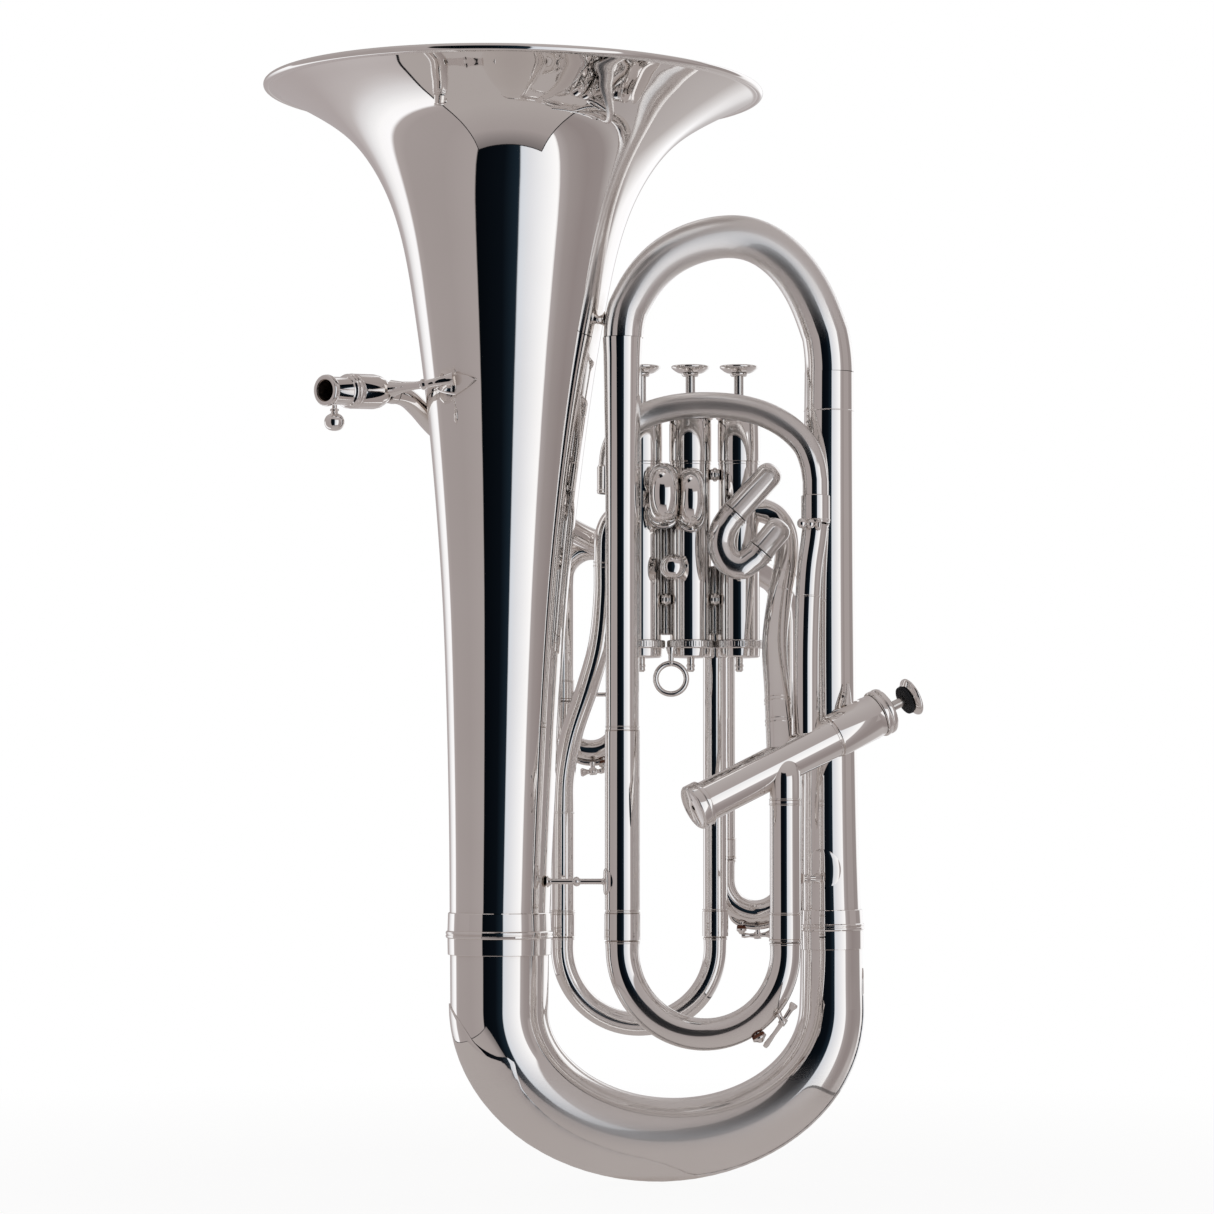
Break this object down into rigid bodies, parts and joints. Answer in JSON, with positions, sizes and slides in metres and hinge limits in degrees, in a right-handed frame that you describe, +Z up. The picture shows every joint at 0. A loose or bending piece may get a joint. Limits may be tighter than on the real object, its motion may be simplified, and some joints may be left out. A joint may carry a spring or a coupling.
{
  "type": "tuba",
  "caption": "Silver-plated three-plus-one valve tenor tuba with upright flared bell, folded conical tubing, tuning slides, water keys and an oblique side valve.",
  "frame": {"origin": "bottom centre of the whole instrument standing bell up", "axes": "+Z up towards the bell rim, +X from the bell towards the fourth valve, +Y from the valve side to the back"},
  "size_m": [0.4001, 0.3046, 0.6664],
  "materials": {
    "silver_plate": "polished silver plate on brass, mirror bright",
    "piston_monel": "lapped nickel alloy",
    "spring_steel": "drawn spring wire",
    "cork": "natural cork, reddish brown",
    "felt": "black valve felt"
  },
  "bodies": {
    "root": {"bell": "silver_plate", "bell_ferrule": "silver_plate", "bottom_bow": "silver_plate", "bow_guard": "silver_plate", "outer_branch_ferrule": "silver_plate", "outer_branch": "silver_plate", "top_bow": "silver_plate", "inner_branch": "silver_plate", "main_slide_receiver": "silver_plate", "valve4_casing": "silver_plate", "valve4_bottom_cap": "silver_plate", "valve4_top_cap": "silver_plate", "valve4_spring": "spring_steel", "valve1_casing": "silver_plate", "valve1_bottom_cap": "silver_plate", "valve1_top_cap": "silver_plate", "valve1_spring": "spring_steel", "valve2_casing": "silver_plate", "valve2_bottom_cap": "silver_plate", "valve2_top_cap": "silver_plate", "valve2_spring": "spring_steel", "valve3_casing": "silver_plate", "valve3_bottom_cap": "silver_plate", "valve3_top_cap": "silver_plate", "valve3_spring": "spring_steel", "crossover_arch": "silver_plate", "crossover_return": "silver_plate", "valve3_to_valve4_tube": "silver_plate", "fourth_return_tube": "silver_plate", "fourth_sleeve_right": "silver_plate", "third_slide_sleeves": "silver_plate", "first_slide_sleeves": "silver_plate", "third_compensating_elbow": "silver_plate", "mouthpiece_receiver": "silver_plate", "leadpipe": "silver_plate", "receiver_brace": "silver_plate", "strap_ring": "silver_plate", "lower_brace": "silver_plate", "upper_brace": "silver_plate"},
    "main_slide": {"main_slide": "silver_plate"},
    "fourth_slide": {"fourth_slide": "silver_plate"},
    "third_slide": {"third_slide": "silver_plate"},
    "first_slide": {"first_slide": "silver_plate"},
    "second_slide": {"second_slide": "silver_plate"},
    "first_compensating_slide": {"first_compensating_slide": "silver_plate"},
    "third_compensating_slide_upper": {"third_compensating_slide_upper": "silver_plate"},
    "third_compensating_slide_lower": {"third_compensating_slide_lower": "silver_plate"},
    "valve1": {"valve1_piston": "piston_monel", "valve1_button": "silver_plate"},
    "valve2": {"valve2_piston": "piston_monel", "valve2_button": "silver_plate"},
    "valve3": {"valve3_piston": "piston_monel", "valve3_button": "silver_plate"},
    "valve4": {"valve4_piston": "piston_monel", "valve4_button": "silver_plate"},
    "main_water_key": {"main_water_key": "silver_plate", "main_water_key_cork": "cork"},
    "third_water_key": {"third_water_key": "silver_plate"},
    "first_water_key": {"first_water_key": "silver_plate"},
    "receiver_screw": {"receiver_screw": "silver_plate"}
  },
  "joints": [
    {"name": "main_slide_pull", "type": "slide", "parent": "root", "child": "main_slide", "axis": [0, 0, -1], "range_m": [0, 0.025], "stiffness_N_per_m": 100, "springref_m": -0.02},
    {"name": "fourth_slide_pull", "type": "slide", "parent": "root", "child": "fourth_slide", "axis": [0, 0, -1], "range_m": [0, 0.025], "stiffness_N_per_m": 100, "springref_m": -0.02},
    {"name": "third_slide_pull", "type": "slide", "parent": "root", "child": "third_slide", "axis": [0, 0, -1], "range_m": [0, 0.025], "stiffness_N_per_m": 100, "springref_m": -0.02},
    {"name": "first_slide_pull", "type": "slide", "parent": "root", "child": "first_slide", "axis": [0, 0, -1], "range_m": [0, 0.015], "stiffness_N_per_m": 100, "springref_m": -0.02},
    {"name": "second_slide_pull", "type": "slide", "parent": "root", "child": "second_slide", "axis": [0, -1, 0], "range_m": [0, 0.01]},
    {"name": "first_compensating_slide_pull", "type": "slide", "parent": "root", "child": "first_compensating_slide", "axis": [0, -1, 0], "range_m": [0, 0.01]},
    {"name": "third_compensating_slide_upper_pull", "type": "slide", "parent": "root", "child": "third_compensating_slide_upper", "axis": [0.6718, 0, 0.7408], "range_m": [0, 0.01]},
    {"name": "third_compensating_slide_lower_pull", "type": "slide", "parent": "root", "child": "third_compensating_slide_lower", "axis": [0.6402, 0, 0.7682], "range_m": [0, 0.006]},
    {"name": "valve1_press", "type": "slide", "parent": "root", "child": "valve1", "axis": [0, 0, -1], "range_m": [0, 0.016], "stiffness_N_per_m": 300, "springref_m": -0.02, "deforming": ["valve1_spring"]},
    {"name": "valve2_press", "type": "slide", "parent": "root", "child": "valve2", "axis": [0, 0, -1], "range_m": [0, 0.016], "stiffness_N_per_m": 300, "springref_m": -0.02, "deforming": ["valve2_spring"]},
    {"name": "valve3_press", "type": "slide", "parent": "root", "child": "valve3", "axis": [0, 0, -1], "range_m": [0, 0.016], "stiffness_N_per_m": 300, "springref_m": -0.02, "deforming": ["valve3_spring"]},
    {"name": "valve4_press", "type": "slide", "parent": "root", "child": "valve4", "axis": [-0.8463, -0.3194, -0.4264], "range_m": [0, 0.013], "stiffness_N_per_m": 300, "springref_m": -0.02},
    {"name": "main_water_key_lift", "type": "hinge", "parent": "main_slide", "child": "main_water_key", "pos_m": [0.1135, -0.052, 0.09895], "axis": [0, -1, 0], "range_deg": [0, 8], "stiffness_Nm_per_rad": 0.05},
    {"name": "third_water_key_lift", "type": "hinge", "parent": "third_slide", "child": "third_water_key", "pos_m": [0.10271, 0.06, 0.14635], "axis": [0, -1, 0], "range_deg": [0, 8], "stiffness_Nm_per_rad": 0.05},
    {"name": "first_water_key_lift", "type": "hinge", "parent": "first_slide", "child": "first_water_key", "pos_m": [0.00131, 0.06, 0.24775], "axis": [0, 1, 0], "range_deg": [0, 8], "stiffness_Nm_per_rad": 0.05},
    {"name": "receiver_screw_turn", "type": "hinge", "parent": "root", "child": "receiver_screw", "pos_m": [-0.153, -0.051, 0.4562], "axis": [0, 0, 1], "range_deg": [-180, 180]}
  ]
}
